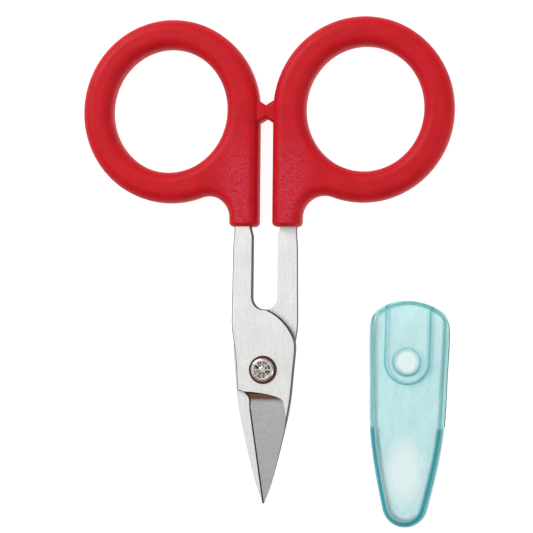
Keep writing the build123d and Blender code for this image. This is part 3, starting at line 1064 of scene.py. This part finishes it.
class SNIPS_OT_pivot(bpy.types.Operator):
    """Model the staked rivet with its ring of wedge dents, and finish the washer under its head"""

    bl_idname = "snips.pivot"
    bl_label = "Pivot Rivet and Washer"

    def execute(self, context):
        settings = context.scene.snips.pivot
        low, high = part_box("pivot_rivet")
        washer_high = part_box("pivot_washer")[1]
        blade_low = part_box("back_blade")[0]
        axis = (low + high) / 2
        head_radius = 2.75 * MM
        shank_radius = 1.8 * MM
        factory_radius = (high.x - low.x) / 2
        factory_top = blade_low.z - 0.03 * MM
        segments = settings.stake_count * 8

        bpy.ops.object.select_all(action="DESELECT")
        bpy.ops.mesh.primitive_cylinder_add(
            vertices=segments,
            radius=factory_radius,
            depth=factory_top - low.z,
            location=(axis.x, axis.y, (factory_top + low.z) / 2),
        )
        rivet = context.active_object
        rivet.name = "staked_rivet"
        bpy.ops.object.transform_apply(location=True, rotation=True, scale=True)
        bpy.ops.object.mode_set(mode="EDIT")
        bpy.ops.mesh.select_mode(type="FACE")

        # Shank up from the factory head, then the upset head over the washer.
        head_top = high.z - 0.06 * MM
        select_faces(rivet, highest_face(rivet))
        bpy.ops.mesh.inset(thickness=factory_radius - shank_radius)
        raise_cap(washer_high.z - factory_top, 1, (axis.x, axis.y, washer_high.z))
        raise_cap(0, head_radius / shank_radius, (axis.x, axis.y, washer_high.z))
        raise_cap(0.42 * MM, 1, (axis.x, axis.y, washer_high.z))
        # The crown's shoulder is rounded in three steps.
        for rise, scale in ((0.16, 0.975), (0.14, 0.945), (0.08, 0.93)):
            raise_cap(rise * MM, scale, (axis.x, axis.y, head_top))
        crown_radius = head_radius * 0.975 * 0.945 * 0.93
        dent_outer = 1.95 * MM
        dent_inner = 0.85 * MM
        bpy.ops.mesh.inset(thickness=crown_radius - dent_outer)
        bpy.ops.mesh.inset(thickness=dent_outer - dent_inner)
        raise_cap(0.1 * MM, 0.8, (axis.x, axis.y, head_top))
        raise_cap(0.05 * MM, 0.6, (axis.x, axis.y, head_top))

        # Each dent takes the middle five of a sector's eight faces, so it comes out as a wedge.
        sector = math.tau / settings.stake_count

        def in_dent(face):
            centre = face.calc_center_median()
            reach = math.hypot(centre.x - axis.x, centre.y - axis.y)
            turn = math.atan2(centre.y - axis.y, centre.x - axis.x) % sector
            level = abs(centre.z - RIVET_CROWN) < 0.01 * MM
            return level and dent_inner < reach < dent_outer and abs(turn - sector / 2) < sector * 0.33

        select_faces(rivet, in_dent)
        bpy.ops.mesh.inset(thickness=0.1 * MM, depth=-settings.stake_depth)
        select_faces(rivet, lambda face: face.normal.z < -0.9 and face.calc_center_median().z < low.z + 1e-6)
        bpy.ops.mesh.inset(thickness=0.5 * MM)
        bpy.ops.object.mode_set(mode="OBJECT")

        soften = rivet.modifiers.new("worn_edges", "BEVEL")
        soften.width = 0.045 * MM
        soften.segments = 2
        soften.limit_method = "ANGLE"
        soften.angle_limit = math.radians(28)
        bpy.ops.object.modifier_apply(modifier=soften.name)
        bpy.ops.object.shade_smooth_by_angle(angle=math.radians(32))
        give(rivet, burnished_steel(settings))
        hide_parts("pivot_rivet")
        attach(rivet, "front_half")
        give(frame["nodes"]["pivot_washer"], bronzed_steel(settings))
        return {"FINISHED"}


class SNIPS_OT_blade_cover(bpy.types.Operator):
    """Finish the see-through blade cover"""

    bl_idname = "snips.blade_cover"
    bl_label = "Blade Cover"

    def execute(self, context):
        give(frame["nodes"]["blade_cover"], tinted_clear_plastic(context.scene.snips.cover))
        return {"FINISHED"}


class SNIPS_OT_stage(bpy.types.Operator):
    """Set a plain pale floor, soft studio light and the camera"""

    bl_idname = "snips.stage"
    bl_label = "Stage"

    def execute(self, context):
        settings = context.scene.snips.stage
        context.scene.view_settings.view_transform = "Standard"
        self.lay_floor(context, settings)
        self.hang_light(context, settings)
        self.place_camera(context, settings)
        return {"FINISHED"}

    def lay_floor(self, context, settings):
        """A large matt white table, faintly lit from within."""
        bpy.ops.object.select_all(action="DESELECT")
        bpy.ops.mesh.primitive_plane_add(size=6, location=(0, 0, -0.05 * MM))
        floor = context.active_object
        floor.name = "floor"
        material, tree, output = new_material("matt_white_table")
        surface = add_node(
            tree,
            "ShaderNodeBsdfPrincipled",
            {
                "Base Color": linear("#A0A0A0"),
                "Roughness": 0.9,
                "Specular IOR Level": 0.1,
                "Emission Color": (1, 1, 1, 1),
                "Emission Strength": settings.floor_glow,
            },
        )
        tree.links.new(surface.outputs[0], output.inputs["Surface"])
        give(floor, material)

    def hang_light(self, context, settings):
        """A white ceiling over grey walls, a dark wall past the tips, a soft key light and a small fill."""
        world = bpy.data.worlds.new("studio")
        context.scene.world = world
        world.use_nodes = True
        tree = world.node_tree
        tree.nodes.clear()
        direction = add_node(tree, "ShaderNodeTexCoord")
        parts = add_node(tree, "ShaderNodeSeparateXYZ", {0: direction.outputs["Generated"]})
        ceiling = add_node(
            tree,
            "ShaderNodeMapRange",
            {"Value": parts.outputs["Z"], "From Min": 0.70, "From Max": 0.93},
            interpolation_type="SMOOTHSTEP",
        )
        horizon = add_node(
            tree,
            "ShaderNodeMapRange",
            {"Value": parts.outputs["Z"], "From Min": 0.16, "From Max": 0.03},
            interpolation_type="SMOOTHSTEP",
        )
        dark_side = add_node(
            tree,
            "ShaderNodeMapRange",
            {"Value": parts.outputs["Y"], "From Min": -0.30, "From Max": -0.70},
            interpolation_type="SMOOTHSTEP",
        )
        walls = add_node(
            tree,
            "ShaderNodeMix",
            {0: dark_side, 6: (0.50, 0.49, 0.49, 1), 7: (0.12, 0.08, 0.07, 1)},
            data_type="RGBA",
        )
        above = add_node(
            tree,
            "ShaderNodeMix",
            {0: ceiling, 6: walls.outputs[2], 7: (1.0, 1.0, 1.0, 1)},
            data_type="RGBA",
        )
        around = add_node(
            tree,
            "ShaderNodeMix",
            {0: horizon, 6: above.outputs[2], 7: (0.95, 0.95, 0.96, 1)},
            data_type="RGBA",
        )
        sky = add_node(tree, "ShaderNodeBackground", {"Color": around.outputs[2], "Strength": 1.0})
        output = add_node(tree, "ShaderNodeOutputWorld", {"Surface": sky})
        output.is_active_output = True

        lamps = (
            ("key_light", Vector((-0.55, 0.5, 0.67)), 0.8, 0.32, settings.key_power),
            ("fill_light", Vector((0.80, -0.30, 0.50)), 0.7, 0.16, settings.key_power * 0.22),
        )
        for name, towards, distance, size, power in lamps:
            data = bpy.data.lights.new(name, "AREA")
            data.shape = "DISK"
            data.size = size
            data.energy = power
            lamp = bpy.data.objects.new(name, data)
            context.scene.collection.objects.link(lamp)
            lamp.location = towards.normalized() * distance
            lamp.rotation_euler = towards.to_track_quat("Z", "Y").to_euler()

    def place_camera(self, context, settings):
        """A long lens nearly straight above the set."""
        towards = Vector(
            (
                math.sin(settings.tilt_right),
                math.sin(settings.tilt_back) * math.cos(settings.tilt_right),
                math.cos(settings.tilt_right) * math.cos(settings.tilt_back),
            )
        )
        sideways = (-towards).cross(Vector((0, 1, 0))).normalized()
        upwards = sideways.cross(-towards)
        turn_cos, turn_sin = math.cos(settings.roll), math.sin(settings.roll)
        camera_x = sideways * turn_cos + upwards * turn_sin
        camera_y = upwards * turn_cos - sideways * turn_sin
        low, high = CAD_BOX
        middle = Vector(((low.x + high.x) / 2, (low.y + high.y) / 2, MIDDLE_HEIGHT))
        target = middle + Vector((0.22, 0.8, 0)) * MM
        data = bpy.data.cameras.new("camera")
        data.sensor_width = 36
        data.lens = data.sensor_width * settings.camera_distance / settings.view_width
        data.clip_start = 0.01
        data.clip_end = 20
        camera = bpy.data.objects.new("camera", data)
        context.scene.collection.objects.link(camera)
        pose = Matrix((camera_x, camera_y, towards)).transposed().to_4x4()
        pose.translation = target + towards * settings.camera_distance
        camera.matrix_world = pose
        context.scene.camera = camera


STEPS = (SNIPS_OT_steel_halves, SNIPS_OT_finger_grips, SNIPS_OT_pivot, SNIPS_OT_blade_cover, SNIPS_OT_stage)


class SNIPS_PT_sidebar(bpy.types.Panel):
    """Lists the steps that finish the snips"""

    bl_idname = "SNIPS_PT_sidebar"
    bl_label = "Thread Snips"
    bl_space_type = "VIEW_3D"
    bl_region_type = "UI"
    bl_category = "Snips"

    def draw(self, context):
        column = self.layout.column()
        for step in STEPS:
            column.operator(step.bl_idname)


CLASSES = (
    SnipsSteelSettings,
    SnipsGripSettings,
    SnipsPivotSettings,
    SnipsCoverSettings,
    SnipsStageSettings,
    SnipsSettings,
    *STEPS,
    SNIPS_PT_sidebar,
)


def register():
    for one in CLASSES:
        bpy.utils.register_class(one)
    bpy.types.Scene.snips = bpy.props.PointerProperty(type=SnipsSettings)


def unregister():
    del bpy.types.Scene.snips
    for one in reversed(CLASSES):
        bpy.utils.unregister_class(one)


def main():
    """Runs every step in order."""
    register()
    bpy.ops.snips.steel_halves()
    bpy.ops.snips.finger_grips()
    bpy.ops.snips.pivot()
    bpy.ops.snips.blade_cover()
    bpy.ops.snips.stage()


if __name__ == "__main__":
    main()
